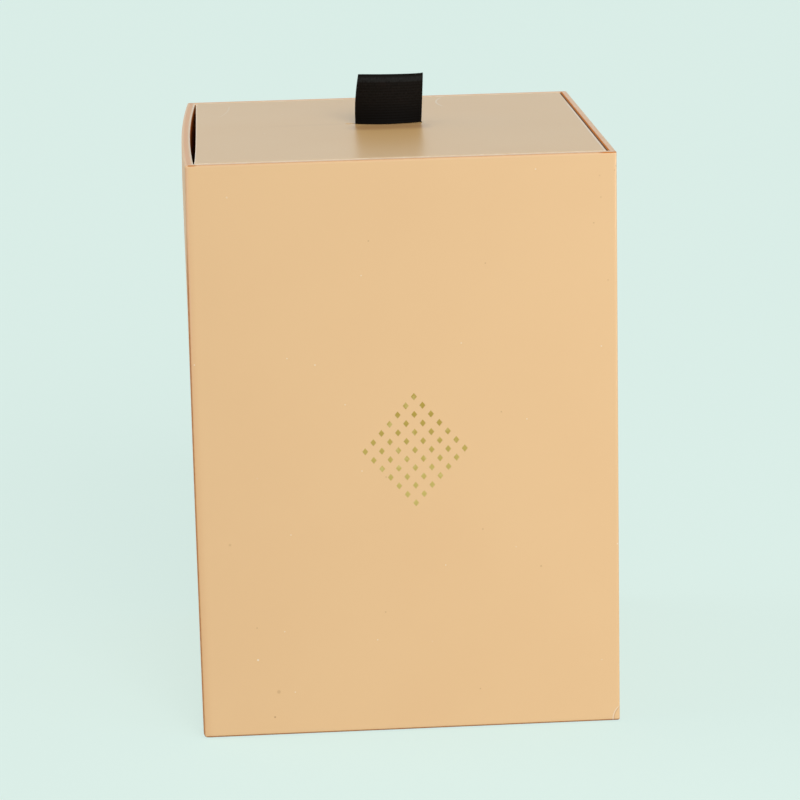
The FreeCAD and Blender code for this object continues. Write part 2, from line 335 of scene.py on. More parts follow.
# %% Finish of the peach paper
def peach_paper(name, peach, spots=(), arcs=()):
    """The coated paper, with its single marks."""
    finish = new_finish(name)
    places = finish.places()
    flat_places = finish.places("UV")
    clouds = finish.noise(places, 22, detail=3)
    tooth = finish.noise(places, 2400)
    fibres = finish.noise(finish.stretched(flat_places, (900, 260, 1)), 1, detail=3, warp=0.4)
    edge_patches = finish.noise(places, 300, detail=3)
    # fold: darker folds and painted shade; edge: pale wear and painted highlight
    fold = finish.measure("fold") * (0.75 + 0.5 * finish.noise(places, 700))
    edge = (finish.measure("edge") * (0.55 + 0.9 * edge_patches)).ramp(0.25, 0.85)
    rim = finish.measure("rim")
    pale = finish.specks(flat_places, 31 * mm, 0.30 * mm)
    dark = finish.specks(finish.stretched(flat_places, (-1, 1, 1)), 43 * mm, 0.34 * mm)

    paint = finish.layered(
        peach,
        (peach_fold_and_shade, clouds.ramp(0.3, 0.75) * 0.03),
        # the rim colour also paints the left wall's upper half pinker, a painted sheen
        (peach_rim, rim),
        # darker for deep folds and for painted shade in corners, gaps and at the foot
        (peach_fold_and_shade, fold * 0.85),
        # paler along edges, for rubbed wear and for painted highlight
        (peach_wear_and_highlight, edge * 0.9),
        (dust_and_highlight, pale * 0.6),
        (dirt_and_shade, dark * 0.35),
        # the spots and arcs carry dirt and dust, and also painted shade and painted highlight
        *spots_on(finish, places, spots),
        *arcs_on(finish, places, arcs),
    )
    satin = finish.shader(
        Base_Color=paint,
        Roughness=0.27 + 0.08 * tooth + 0.04 * clouds + 0.15 * edge + 0.3 * rim + 0.4 * fold,
        IOR=1.55,
        Normal=finish.bump(0.45 * tooth + 0.25 * fibres + 0.3 * clouds, 0.02 * mm),
    )
    # matt orange painted shade for the narrow gaps beside the drawer
    gap_shade_matt = finish.shader(Base_Color=peach_gap_shade, Roughness=0.8, Specular_IOR_Level=0.0)
    return finish.worn_by(finish.blended(satin, gap_shade_matt, fold.ramp(1.0, 1.5)))


print("the peach paper is one recipe for both shells")

# %% [markdown]
# ## Board, linings and stays
#
# Greyboard is pulp from waste paper, grey-brown, with flecks and a soft felt of fibres. The linings are thin
# black paper, quite dull. The stays that tape the board corners are brown kraft with long fibres, and the
# patch over the ribbon's ends is plain white paper. They share one recipe and differ only in the numbers,
# and the last word of a piece's name says which it is.

# %% Finishes of the plain papers and the board
def plain_paper(name, base, fleck, least_rough, scale, depth, flecked):
    """Uncoated paper or board: flecks of a second colour over the first, and a felted tooth."""
    finish = new_finish(name)
    places = finish.places()
    tooth = finish.noise(places, scale, detail=4, roughness=0.6)
    flecks = finish.noise(finish.stretched(places, (1, 1, 2.5)), scale * 0.35, warp=1.2)
    clouds = finish.noise(places, 30)
    fleck = colour(*fleck)
    return finish.surface(
        Base_Color=finish.layered(
            colour(*base),
            (fleck, flecks.ramp(0.56, 0.66) * flecked),
            (fleck, clouds * 0.12),
        ),
        Roughness=least_rough + 0.08 * tooth,
        IOR=1.45,
        Normal=finish.bump(tooth, depth),
    )


felt = 0.015 * mm
recipes = {  # for each last word: name, base, fleck, least roughness, scale and depth of the tooth, flecks
    "board": ("greyboard", (0.23, 0.20, 0.165), (0.10, 0.085, 0.07), 0.84, 1500, 2 * felt, 0.7),
    "lining": ("lining_black", (0.012, 0.011, 0.010), (0.028, 0.026, 0.024), 0.62, 2200, felt, 0.5),
    "stays": ("kraft", (0.40, 0.24, 0.12), (0.27, 0.15, 0.07), 0.72, 1700, felt, 0.6),
    "patch": ("white_patch", (0.78, 0.76, 0.72), (0.62, 0.60, 0.56), 0.70, 2200, felt, 0.5),
    "sheet": ("base_peach", (0.78, 0.52, 0.27), (0.68, 0.42, 0.20), 0.50, 2200, felt, 0.5),
}
finishes = {word: plain_paper(*recipe) for word, recipe in recipes.items()}
for name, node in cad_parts.items():
    for slot in node.material_slots:
        slot.link = "OBJECT"
        slot.material = finishes.get(name.split("_")[-1], finishes["board"])
print("finished from the construction:", len(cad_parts), "pieces")

# %% [markdown]
# ## Wrapping a shell
#
# Each shell is wrapped by one sheet. Seen along a wall, its section is a long line: from a flap up the wall,
# over the cut edge and down inside. Going round the shell, that section is repeated at many stations, closer
# at the corners than on the flat. So the wrap is a grid, with a front and a back `paper` apart, and not a
# hollow box with thick walls. A station on a side slides towards the middle as the section moves in, so the
# folded margins meet on the corner diagonals, as mitred paper does.

# %% Stations round a shell
least_radius = 0.12 * mm  # inside corners are nearly sharp
corner_steps = 6
flat_stations = 13
flat_margin = 24 * mm  # the even stations on the flat stop this far from a corner
near_corner = np.array([0.5, 1.2, 2.2, 3.6, 6.0, 10.0, 16.0]) * mm
outwards = ((1, 0), (0, 1), (-1, 0), (0, -1))  # from each side: right, back, left, front


class Ring:
    """Stations round a rectangle with rounded corners, and where each lies at a given inset."""

    def __init__(self, half_a, half_b, radius, wanted=()):
        self.half = (half_a, half_b)
        self.radius = radius
        self.stations = []
        for turn in range(4):
            along = half_a if turn % 2 else half_b
            reach = along - radius
            flat = np.linspace(-1, 1, flat_stations) * (reach - flat_margin)
            exact = [place for side, place in wanted if side == turn]
            places = np.concatenate([near_corner - reach, flat, reach - near_corner, exact])
            for place in np.unique(np.round(places, 6)):
                self.stations.append(("side", turn, place / reach))
            for step in range(corner_steps + 1):
                self.stations.append(("corner", turn, step / corner_steps))

    def place(self, station, inset):
        """(a, b) of a station, inset from the outside."""
        kind, turn, share = station
        radius = max(self.radius - inset, least_radius)
        core_a = self.half[0] - inset - radius
        core_b = self.half[1] - inset - radius
        if kind == "corner":
            angle = math.radians(90) * (turn + share)
            side_a, side_b = ((1, 1), (-1, 1), (-1, -1), (1, -1))[turn]
            return side_a * core_a + radius * math.cos(angle), side_b * core_b + radius * math.sin(angle)
        out_a, out_b = outwards[turn]
        a = out_a * (core_a + radius) - out_b * share * core_a
        b = out_b * (core_b + radius) + out_a * share * core_b
        return a, b

    def lengths(self):
        """Distance round the outside up to each station, and back to the first."""
        corners = np.array([self.place(station, 0) for station in self.stations])
        steps = np.linalg.norm(np.roll(corners, -1, axis=0) - corners, axis=1)
        return np.concatenate([[0], np.cumsum(steps)])

    def turned(self, weights=(1, 1, 1, 1)):
        """A weight for each corner, full at its middle, and 0 on the sides."""
        return np.array([
            weights[turn] * math.sin(math.pi * share) if kind == "corner" else 0
            for kind, turn, share in self.stations
        ])


print("stations round a shell:", len(Ring(half_box, half_box, fold_radius).stations))

# %% [markdown]
# The section is made of straight runs and quarter bends. Each gives the inset and the height of its points,
# how far into the bend they are (1 at the middle, and all along a run), and the name of its part. Every wrap
# has the same parts in the same order, so one function builds both shells' sections from their sizes.

# %% Runs and bends of a section
bend_steps = 5
even_margin = 22 * mm  # the even heights stop this far from both ends


def run(insets, heights, part="flat"):
    """A straight run: one of the two may be a single number."""
    insets, heights = np.broadcast_arrays(np.atleast_1d(insets), np.atleast_1d(heights))
    return [(inset, height, 1.0, part) for inset, height in zip(insets, heights)]


def bend(centre_inset, centre_height, radius, start, stop, part):
    """An arc between two angles in degrees: 0 points outwards from the wall and 90 points up."""
    points = []
    for step in range(bend_steps + 1):
        share = step / bend_steps
        angle = math.radians(start + (stop - start) * share)
        inset = centre_inset - radius * math.cos(angle)
        height = centre_height + radius * math.sin(angle)
        points.append((inset, height, math.sin(math.pi * share), part))
    return points


def rungs(low, high, count):
    """Heights up a wall: close together near both ends, even between."""
    ends = np.array([0.6, 1.6, 3.5, 7.0, 13.0]) * mm
    middle = np.linspace(low + even_margin, high - even_margin, count)
    return np.concatenate([low + ends, middle, high - ends[::-1]])


def wrap_face(depth, low, high, corner, board, flap, wall, rim, tuck):
    """One face of a wrap's section, depth in from its outside, from its flap to the edge tucked in."""
    face = run(flap, low + depth)
    face += bend(corner, low + corner, corner - depth, -90, 0, "foot")
    face += run(depth, wall)
    face += bend(rim_radius, high - rim_radius, rim_radius - depth, 0, 90, "outer")
    face += run(rim, high - depth, "rim")
    face += bend(board - rim_radius, high - rim_radius, rim_radius - depth, 90, 180, "inner")
    return face + run(board - depth, high - tuck, "inside")


def wrap_section(**sizes):
    """Both faces as one closed line, the depth of each point, and how far along the flat sheet it is."""
    front, back = wrap_face(0, **sizes), wrap_face(paper, **sizes)
    steps = np.linalg.norm(np.diff([point[:2] for point in front], axis=0), axis=1)
    along = np.concatenate([[0], np.cumsum(steps)])
    depths = [0] * len(front) + [paper] * len(back)
    return front + back[::-1], depths, np.concatenate([along, along[::-1], [0]])


def weighted(line, ring, **weights):
    """A number for each point of a grid: weights give each part of the section one weight for each side."""
    none = (0, 0, 0, 0)
    return np.array([
        [weights.get(part, none)[turn] * bent for kind, turn, share in ring.stations]
        for inset, height, bent, part in line
    ])


print("a bend has", bend_steps + 1, "points")

# %% [markdown]
# A grid of points becomes a mesh. Going round, the last station meets the first. Along the section, the
# front ends where the back begins, at a cut edge of the paper. The place of each point on the flat sheet is
# stored too, so that fibres and specks run on over the folds.

# %% From grid to mesh
def new_piece(name, points, faces, flat=(), numbers=()):
    """A piece with smooth faces and crisp cut edges, and what its finish reads.

    `flat` is the place on the flat sheet of each face's corners, and `numbers` are pairs of a name and one
    number for each point.
    """
    mesh = bpy.data.meshes.new(name)
    mesh.from_pydata(points, [], faces)
    if len(flat):
        layer = mesh.uv_layers.new(name="sheet")
        layer.uv.foreach_set("vector", np.array(flat, np.float32).ravel())
    for number, values in numbers:
        stored = mesh.attributes.new(number, "FLOAT", "POINT")
        stored.data.foreach_set("value", np.asarray(values, np.float32).ravel())
    mesh.validate()
    mesh.shade_smooth()
    mesh.set_sharp_from_angle(angle=math.radians(38))
    return placed(name, mesh)


def sheet_mesh(name, points, across, along, numbers, closed=True, hole=()):
    """Closed paper shell. points[j][i] runs along the section (front, then back) and round the stations."""
    rows, stations = points.shape[:2]
    index = np.arange(rows * stations).reshape(rows, stations)
    faces, flat = [], []

    def add(corners):
        faces.append([index[j % rows, i % stations] for j, i in corners])
        flat.extend((across[i], along[j]) for j, i in corners)

    for j in range(rows if closed else rows - 1):
        for i in range(stations):
            if (j, i) not in hole:
                add([(j, i), (j, i + 1), (j + 1, i + 1), (j + 1, i)])
    if not closed:
        add([(0, i) for i in reversed(range(stations))])
        add([(rows - 1, i) for i in range(stations)])
    add_hole_edges(hole, rows, add)
    return new_piece(name, points.reshape(-1, 3).tolist(), faces, flat, numbers.items())


def add_hole_edges(hole, rows, add):
    """Cut edges of the paper round a hole through both of its faces."""
    front = {(j, i) for j, i in hole if j < rows // 2}
    back = rows - 1
    for j, i in front:
        for (dj, di), first, last in (
            ((-1, 0), (j, i), (j, i + 1)),
            ((1, 0), (j + 1, i + 1), (j + 1, i)),
            ((0, -1), (j + 1, i), (j, i)),
            ((0, 1), (j, i + 1), (j + 1, i + 1)),
        ):
            if (j + dj, i + di) not in front:
                add([first, last, (back - last[0], last[1]), (back - first[0], first[1])])


print("sheets fold into closed meshes")

# %% [markdown]
# ## The sleeve's wrap
#
# The sheet starts on a flap under the base, goes up the wall, over the rim, and 18 mm down inside. The left
# wall has given way at the mouth: its two corners are drawn in by a millimetre or two, the back one more,
# and the wall stays full between them, so the gap beside the drawer is a long lens. The construction's curve
# is repeated here: a parabola from front to back that fades to nothing at the base.

# %% Section of the sleeve's wrap
base_flap = 15 * mm
mouth_turn_in = 18 * mm
rim_width = 3.1 * mm
flap_level = sleeve_low.z
wall_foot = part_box("sleeve_base_lining")[0].z
drawn_in_front = 1.3 * mm
drawn_in_back = 1.8 * mm
side_belly = 0.2 * mm  # how far the wall stays out between its two corners
still_half = 35 * mm  # nearer than this to the middle, nothing moves
sleeve_line, sleeve_depths, sleeve_along = wrap_section(
    low=flap_level,
    high=box_top,
    corner=fold_radius,
    board=rim_width,
    flap=np.array([base_flap, 9 * mm, 5 * mm, 3 * mm, 2 * mm, 1.3 * mm]),
    wall=rungs(flap_level + fold_radius, box_top - rim_radius, 16),
    rim=np.linspace(rim_radius, rim_width - rim_radius, 5)[1:-1],
    tuck=np.array([1.2, 3, 7, 12, mouth_turn_in / mm]) * mm,
)


def held(value):
    """The value, held between 0 and 1."""
    return min(max(value, 0.0), 1.0)


def drawn_in(x, y, z):
    """x of a point once the mouth's left corners have been drawn in."""
    middle = -(4 * side_belly + drawn_in_front + drawn_in_back) / 2
    back = (y + half_box) / (2 * half_box)
    curve = drawn_in_front * (1 - back) ** 2 + 2 * middle * back * (1 - back) + drawn_in_back * back**2
    up_share = max((z - wall_foot) / (box_top - wall_foot), 0.0)
    return x + curve * up_share**4 * held((-x - still_half) / (half_box - rim_width - still_half))


print("left corners are drawn in by", drawn_in_front / mm, "and", drawn_in_back / mm, "mm")

# %% [markdown]
# A handled box isn't perfect. The paper lifts by less than a tenth of a millimetre in soft patches, and by
# more on the left wall, below its drawn-in corners. The sheet's end laps over its start near the back's
# right edge. The left foot edge is knocked rounder towards the front, and at the right the fold into the
# mouth is soft, which opens the line beside the drawer. All of these are moves of the points.

# %% Wrap the sleeve
seam_from_edge = 14 * mm
lap_lift = 0.12 * mm
lap_width = 9 * mm
left_bulge = 0.3 * mm
bulge_foot = 120 * mm  # the bulge starts at this height
bulge_growth = 60 * mm  # is full this much further up
bulge_end = 12 * mm  # and fades over this much under the rim
lift_fade = 8 * mm  # the paper lies flat at the wall's foot and rim, and lifts over this much
worn_front = 2.0 * mm  # radius of the left foot edge at its front end
worn_back = 1.0 * mm  # and at its back end
soft_radius = 1.1 * mm  # of the right wall's fold into the mouth
rng = np.random.default_rng(7)
swells = [(rng.uniform(-1, 1, 3) * 70, rng.uniform(0, 6.3), rng.uniform(0.3, 1.0)) for count in range(7)]


def swell(x, y, z):
    """How far the paper stands off its board, from 0 to about 0.09 mm, in broad soft patches."""
    total = 0
    for wave, phase, size in swells:
        total += size * math.sin(wave[0] * x + wave[1] * y + wave[2] * z + phase)
    return 0.045 * mm * (1 + math.tanh(total / 1.6))


def bulged(y, z):
    """How far the left wall stands out: most at its middle, from the upper half to just under the rim."""
    rise = held((z - bulge_foot) / bulge_growth)
    to_rim = min(1.0, (box_top - z) / bulge_end)
    return left_bulge * (1 - (y / half_box) ** 2) * rise**2 * (3 - 2 * rise) * to_rim


def rounder(across, up, radius, depth):
    """A place near a corner, measured in from its two faces, moved out to a rounder corner than before."""
    apart = math.hypot(min(across - radius, 0), min(up - radius, 0))
    if across > radius or up > radius or apart <= radius - depth:
        return across, up
    scale = (radius - depth) / apart
    return radius + (across - radius) * scale, radius + (up - radius) * scale


def knocked(x, y, z, depth):
    """x and z on the left foot edge, knocked rounder towards its front end."""
    radius = worn_front + (worn_back - worn_front) * (y + half_box) / (2 * half_box)
    across, up = rounder(x + half_box, z - flap_level, radius, depth)
    return across - half_box, up + flap_level


def softened(x, z, depth):
    """x and z on the right wall's fold into the mouth."""
    across, down = rounder(x - (half_box - rim_width), box_top - z, soft_radius, depth)
    return across + half_box - rim_width, box_top - down


def sleeve_point(station, inset, height, depth):
    """A point of the sleeve's wrap in the frame, with every small fault of a real sheet."""
    x, y = sleeve_ring.place(station, inset)
    kind, turn, share = station
    on_wall = kind == "side" and inset == depth and flap_level + fold_radius < height < box_top - rim_radius
    if on_wall and turn == 2:
        x -= bulged(y, height)
    if on_wall and depth == 0:
        from_ends = min(height - flap_level, box_top - height) / lift_fade
        from_corner = 8 * (1 - abs(share))  # full but for the last eighth at each end of a side
        lift = swell(x, y, height) * min(1.0, from_corner, from_ends)
        if turn == 1:
            past_seam = (half_box - seam_from_edge) - x
            lift += lap_lift * max(0.0, 1 - past_seam / lap_width) * (past_seam >= 0)
        x += lift * outwards[turn][0]
        y += lift * outwards[turn][1]
    x, height = knocked(x, y, height, depth)
    if turn == 0 and kind == "side" and inset > rim_width / 2:
        x, height = softened(x, height, depth)
    return drawn_in(x, y, height), y, height


seam_x = half_box - seam_from_edge
seam_stations = [(1, -seam_x), (1, -seam_x - 0.06 * mm), (1, -seam_x + 3 * mm)]
sleeve_ring = Ring(half_box, half_box, fold_radius, wanted=seam_stations)
sleeve_points = np.array([
    [sleeve_point(station, *point[:2], depth) for station in sleeve_ring.stations]
    for point, depth in zip(sleeve_line, sleeve_depths)
])
print("sleeve paper: grid of", sleeve_points.shape[:2], "points")

# %% [markdown]
# Then each point gets its three numbers, with weights in the order right, back, left, front. The front left
# corner is painted darkest, partly its deepest fold and partly painted shade on the side away from the
# light, and less near the mouth; beside it, the front face has a soft painted shade. The foot edge is
# painted darker too, partly a fold and partly painted shade where the box meets the floor. The front's outer
# edge has a short crease at each end. The fold into the mouth is painted pale on three sides, partly rubbed
# and partly a painted highlight. At the right, that fold and the paper inside the mouth are painted matt
# orange, painted shade of the narrow gap beside the drawer, and the paper inside the mouth at the left is
# painted darker as shade too. The left wall's upper half is rougher and painted pinker, a painted sheen.

# %% Folds, worn edges, rims, and painted light and shade of the sleeve
sleeve_x, sleeve_y, sleeve_z = np.moveaxis(sleeve_points, 2, 0)
hair = 0.05 * mm
corner_fade_from = 195 * mm  # the front left corner's painted darkening falls to its least at this height
corner_fade_growth = 25 * mm
shade_width = 3.5 * mm  # of the painted shade on the front face, beside that corner
gap_shade_depth = 3.0  # twice what turns the paint into the matt orange painted shade
gap_shade_reach = 0.6 * mm
crease_from = 72.5 * mm  # the creases lie further than this from the middle
sheen_wall_foot = 100 * mm  # the left wall is duller and painted pinker, a painted sheen, from this height
sheen_wall_growth = 60 * mm  # and fully so this much further up
near_front = sleeve_y < hair - half_box
deep_below = np.clip((corner_fade_from - sleeve_z) / corner_fade_growth, 0.15, 1.0)
below_mouth = sleeve_z < box_top - rim_radius - hair
outside = np.array([inset < rim_width / 2 for inset, height, bent, part in sleeve_line])[:, None]
# the front left corner is painted darker, partly as a fold and partly as painted shade away from the light
corner_folds_and_shade = sleeve_ring.turned((0.15, 0.3, 1.0, 0.1))[None, :] * deep_below * below_mouth * outside
# a soft painted shade on the front face beside that corner
soft_shade = 0.25 * np.clip(1 - (sleeve_x + half_box) / shade_width, 0, 1) * near_front * below_mouth
# the foot edges and the paper inside the mouth are painted darker, partly folds and partly painted shade
bend_folds_and_shade = weighted(
    sleeve_line, sleeve_ring,
    foot=(0.9, 0.9, 0.9, 1.3), outer=(0, 0.35, 0, 0.55), rim=(0, 0, 0.1, 0), inside=(2.0, 0, 1.3, 0),
)
right_side = np.array([kind == "side" and turn == 0 for kind, turn, share in sleeve_ring.stations])[None, :]
# the right wall's fold into the mouth is painted matt orange, painted shade of the gap beside the drawer
into_mouth = (half_box - rim_width + soft_radius - sleeve_x) / gap_shade_reach
mouth_gap_shade = gap_shade_depth * (np.clip(into_mouth, 0, 1) * right_side * ~outside)
creases = weighted(sleeve_line, sleeve_ring, outer=(0, 0, 0, 1.0)) * (np.abs(sleeve_x) > crease_from)
# edges painted pale, partly rubbed wear and partly painted highlight
worn_and_lit_edges = weighted(sleeve_line, sleeve_ring, inner=(0, 0.6, 0.8, 0.8), rim=(0.38, 0, 0, 0.42))
turned_rims = weighted(sleeve_line, sleeve_ring, rim=(1, 1, 1, 0.2), outer=(0.8, 0.3, 0.8, 0.1))
# the left wall's upper half is rougher and painted pinker, a painted sheen
sheen_painted_wall = weighted(sleeve_line, sleeve_ring, flat=(0, 0, 0.6, 0))
sheen_painted_wall *= np.clip((sleeve_z - sheen_wall_foot) / sheen_wall_growth, 0, 1)
# fold holds folds and painted shade, edge holds wear and painted highlight, rim holds rims and the painted
# sheen
sleeve_numbers = {
    "fold": np.maximum(corner_folds_and_shade, soft_shade) + bend_folds_and_shade + creases + mouth_gap_shade,
    "edge": worn_and_lit_edges,
    "rim": np.maximum(turned_rims, sheen_painted_wall),
}
sleeve_paper = sheet_mesh("sleeve_paper", sleeve_points, sleeve_ring.lengths(), sleeve_along, sleeve_numbers)
print("sleeve paper:", len(sleeve_paper.data.polygons), "faces")

# %% [markdown]
# The sleeve's own marks are listed, as (x, height) on the front face in millimetres. The crease by the
# bottom right corner was pressed in by a fingertip, and it is painted: a pale painted highlight on its
# raised side and a dark painted shade on the side behind it. A pale scuff lies inside the mouth's front left
# corner.

# %% Marks of the sleeve
front_spots = [
    ((73.6, 166.8), 0.45, 0.2),
    ((70.8, 204.7), 0.4, 0.2),
    ((71.2, 196.9), 0.45, 0.2),
    ((76.2, 206.4), 0.4, 0.28),
    ((-61.4, 201.2), 0.5, -0.3),
    ((-32.1, 139.5), 0.45, -0.55),
    ((-64.8, 73.7), 0.7, 0.22),
    ((-56.1, 29.5), 0.5, -0.75),
    ((-48.9, 16.9), 1.0, 0.28),
    ((-50.6, 7.2), 0.45, 0.7),
    ((48.3, 61.1), 0.5, 0.35),
]
front_face = -half_box
sleeve_spots = [
    ((x * mm, front_face, z * mm), radius * mm, strength)
    for (x, z), radius, strength in front_spots
]
mouth_inside = rim_width - half_box - 0.3 * mm
sleeve_spots += [((x * mm, mouth_inside, box_top), 0.7 * mm, -0.9) for x in (-72.0, -71.2, -70.5)]
crease_centre = (81.2 * mm, front_face, 0.8 * mm)
crease_middle = (74.9 * mm, front_face, 2.6 * mm)
# the crease is painted: a pale painted highlight on its raised side and a dark painted shade behind it
crease_highlight_and_shade = [
    (crease_centre, 6.8 * mm, 0.26 * mm, crease_middle, 4.0 * mm, -0.45),
    (crease_centre, 6.4 * mm, 0.28 * mm, crease_middle, 4.0 * mm, 0.30),
]
sleeve_paper.data.materials.append(peach_paper("peach_paper_sleeve", sleeve_peach, sleeve_spots, crease_highlight_and_shade))
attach(sleeve_paper, "sleeve")
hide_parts("sleeve_wrap")
print("marks on the sleeve:", len(sleeve_spots))

# %% [markdown]
# ## The drawer's wrap
#
# The drawer is a tray that stands on one end: its floor is at the back and its open side faces the front.
# The same kind of section wraps it, from the floor round its edge, along the wall, over the open edge and 20
# mm in, so here the section's height runs forwards. The top end of the tray is the panel that closes the
# box, with the slit for the ribbon.

# %% Wrap the drawer
tray_turn_in = 20 * mm
tray_rim_width = 2.6 * mm
tray_radius = 0.5 * mm
puff_left = 0.6 * mm  # how far the paper stands off the board at the panel's front left corner
puff_right = 0.25 * mm  # and all along the panel's right edge
puff_reach = 30 * mm  # down from the panel
puff_width = 5 * mm  # in from each side
drawer_low, drawer_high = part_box("drawer_wrap")
pull_low, pull_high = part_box("ribbon_pull")
tray_height = drawer_high.y - drawer_low.y
half_tray = (drawer_high.z - drawer_low.z) / 2
half_drawer = (drawer_high.x - drawer_low.x) / 2
tray_middle = (drawer_high + drawer_low) / 2
slit_half_x = 13 * mm
slit_half_y = 0.6 * mm
ribbon_y = (pull_low.y + pull_high.y) / 2
slit_heights = [drawer_high.y - ribbon_y - slit_half_y, drawer_high.y - ribbon_y + slit_half_y]
grain = 0.001 * mm  # finer than any step of the grid
tray_levels = np.concatenate([rungs(tray_radius, tray_height - rim_radius, 9), slit_heights])
tray_line, _, tray_along = wrap_section(
    low=0,
    high=tray_height,
    corner=tray_radius,
    board=tray_rim_width,
    flap=np.array([60, 30, 12, 5, 2.5, 1.4]) * mm,
    wall=np.unique(np.round(tray_levels, 6)),
    rim=np.array([0.9, 1.3, 1.7]) * mm,
    tuck=np.array([1.2, 3, 7, 13, tray_turn_in / mm]) * mm,
)


def tray_point(station, inset, height):
    """A point of the drawer's wrap in the frame, from the tray's own upright section."""
    x, z = tray_ring.place(station, inset)
    over, up = x - half_drawer + tray_radius, z - half_tray + tray_radius
    if over > 0 and up > 0:  # the panel's right corner edge is folded sharper than the others
        reach = math.hypot(over, up)
        x += (over * reach**2) ** (1 / 3) - over
        z += (up * reach**2) ** (1 / 3) - up
    near_side = max(1 - (half_drawer - abs(x)) / puff_width, 0.0)
    near_top = max(1 - (half_tray - z) / puff_reach, 0.0)
    puff = puff_right if x > 0 else -puff_left * (height / tray_height) ** 6
    x += puff * near_side * near_top
    return tray_middle.x + x, drawer_high.y - height, tray_middle.z + z


tray_ring = Ring(half_drawer, half_tray, tray_radius, wanted=[(1, -slit_half_x), (1, slit_half_x)])
tray_points = np.array([
    [tray_point(station, inset, height) for station in tray_ring.stations]
    for inset, height, bent, part in tray_line
])
print("drawer paper: grid of", tray_points.shape[:2], "points")

# %% [markdown]
# The slit is one row of cells left out of the grid, in front and behind. The fold of the panel's right edge
# is painted matt orange, painted shade of the narrow gap where it slides along the sleeve, and the other
# edges are painted pale, partly rubbed and partly a painted highlight. The tray's section was drawn standing
# up and then laid down, which turns its faces inside out, so its stations are taken backwards.

# %% Cut the slit and fold the sheet
edge_shade_depth = 3.5  # of the painted shade on the right edge's fold, matt orange
edge_share = 0.8  # the last fifth of its bend looks up, and isn't painted with that shade
first_row = next(j for j, point in enumerate(tray_line) if abs(point[1] - slit_heights[0]) < grain)
last_station = len(tray_ring.stations) - 1
slit_hole = set()
for i, (kind, turn, share) in enumerate(tray_ring.stations):
    across = share * (tray_radius - half_drawer)
    if kind == "side" and turn == 1 and -grain <= across + slit_half_x < 2 * slit_half_x - grain:
        slit_hole |= {(j, last_station - 1 - i) for j in (first_row, len(tray_line) - 2 - first_row)}

right_edge = np.array([
    kind == "corner" and turn == 0 and share < edge_share
    for kind, turn, share in tray_ring.stations
])
# edges painted pale, partly rubbed wear and partly painted highlight
worn_and_lit_tray = weighted(tray_line, tray_ring, outer=(0.7,) * 4, inner=(0.6,) * 4)
tray_numbers = {
    # the panel's right edge fold is painted matt orange, painted shade of the gap beside the sleeve
    "fold": np.zeros(worn_and_lit_tray.shape) + tray_ring.turned((edge_shade_depth, 0, 0, 0)) * right_edge,
    "edge": np.maximum(worn_and_lit_tray, 0.8 * (tray_ring.turned() * ~right_edge)[None, :]),
    "rim": weighted(tray_line, tray_ring, rim=(1,) * 4),
}
drawer_paper = sheet_mesh(
    "drawer_paper", tray_points[:, ::-1], tray_ring.lengths()[::-1], tray_along,
    {number: values[:, ::-1] for number, values in tray_numbers.items()},
    closed=False,
    hole=slit_hole,
)
print("drawer paper:", len(drawer_paper.data.polygons), "faces")

# %% [markdown]
# The panel has marks of its own: two faint arcs, a soft painted shade along the slit, where pulls on the
# ribbon have bent it by a hair, and a shorter, deeper one in front of the ribbon, a painted shadow and
# painted dark reflection of the ribbon. A thin pale line along its right edge is a painted highlight.

# %% Marks of the drawer
top = drawer_high.z
highlight_x = drawer_high.x - 0.3 * mm
edge_run = 40 * 1000 * mm  # radius of a ring so large that a short piece of it is straight
panel_arcs = [
    ((-147.6 * mm, 61.6 * mm, top), 88.8 * mm, 0.4 * mm, (-59.7 * mm, 48.9 * mm, top), 16 * mm, -0.22),
    ((52.3 * mm, 56.7 * mm, top), 29.4 * mm, 0.45 * mm, (22.9 * mm, 57.7 * mm, top), 14 * mm, -0.4),
    # a soft painted shade along the slit
    ((0, ribbon_y - 900 * mm, top), 900 * mm, 3.5 * mm, (-9 * mm, ribbon_y, top), 42 * mm, 0.05),
    # painted shadow and painted dark reflection of the ribbon, in front of it
    ((0, ribbon_y - 911 * mm, top), 900 * mm, 9.0 * mm, (1 * mm, ribbon_y - 11 * mm, top), 18 * mm, 0.42),
    # a painted highlight: a thin pale line along the panel's right edge
    ((highlight_x - edge_run, 0, top), edge_run, 0.45 * mm, (highlight_x, -20 * mm, top), 80 * mm, -0.5),
]
drawer_paper.data.materials.append(peach_paper("peach_paper_drawer", drawer_peach_shaded, arcs=panel_arcs))
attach(drawer_paper, "drawer")
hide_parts("drawer_wrap")
print("marks on the panel:", len(panel_arcs))

# %% [markdown]
# ## The ribbon pull
#
# The pull is one length of black grosgrain, folded double, whose ends go down through the slit and are glued
# flat under the panel. Grosgrain has round ribs right across it, a flat woven edge on each side, and tiny
# loops of thread where the weft turns back. The ribs are modelled, because they catch the light at the fold.
# The ribbon's middle line is drawn as a few points, and its corners are cut again and again until it is
# smooth. Then the strip is laid along it.

# %% The line that the ribbon follows
ribbon_x = (pull_low.x + pull_high.x) / 2 + 0.1 * mm
ribbon_half = 12.5 * mm
ribbon_ply = 0.4 * mm
rib_pitch = 1.0 * mm
tail_low, tail_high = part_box("ribbon_tails")
panel_top = drawer_high.z
loop_top = pull_high.z
tail_level = tail_low.z + ribbon_ply / 2
tail_reach = (tail_high.y - tail_low.y) / 2


def cut_corners(points, rounds):
    """Smooth a line by cutting its corners, keeping its two ends."""
    for count in range(rounds):
        first, last = points[:-1], points[1:]
        cut = np.stack([0.75 * first + 0.25 * last, 0.25 * first + 0.75 * last], axis=1).reshape(-1, 2)
        points = np.concatenate([points[:1], cut, points[-1:]])
    return points


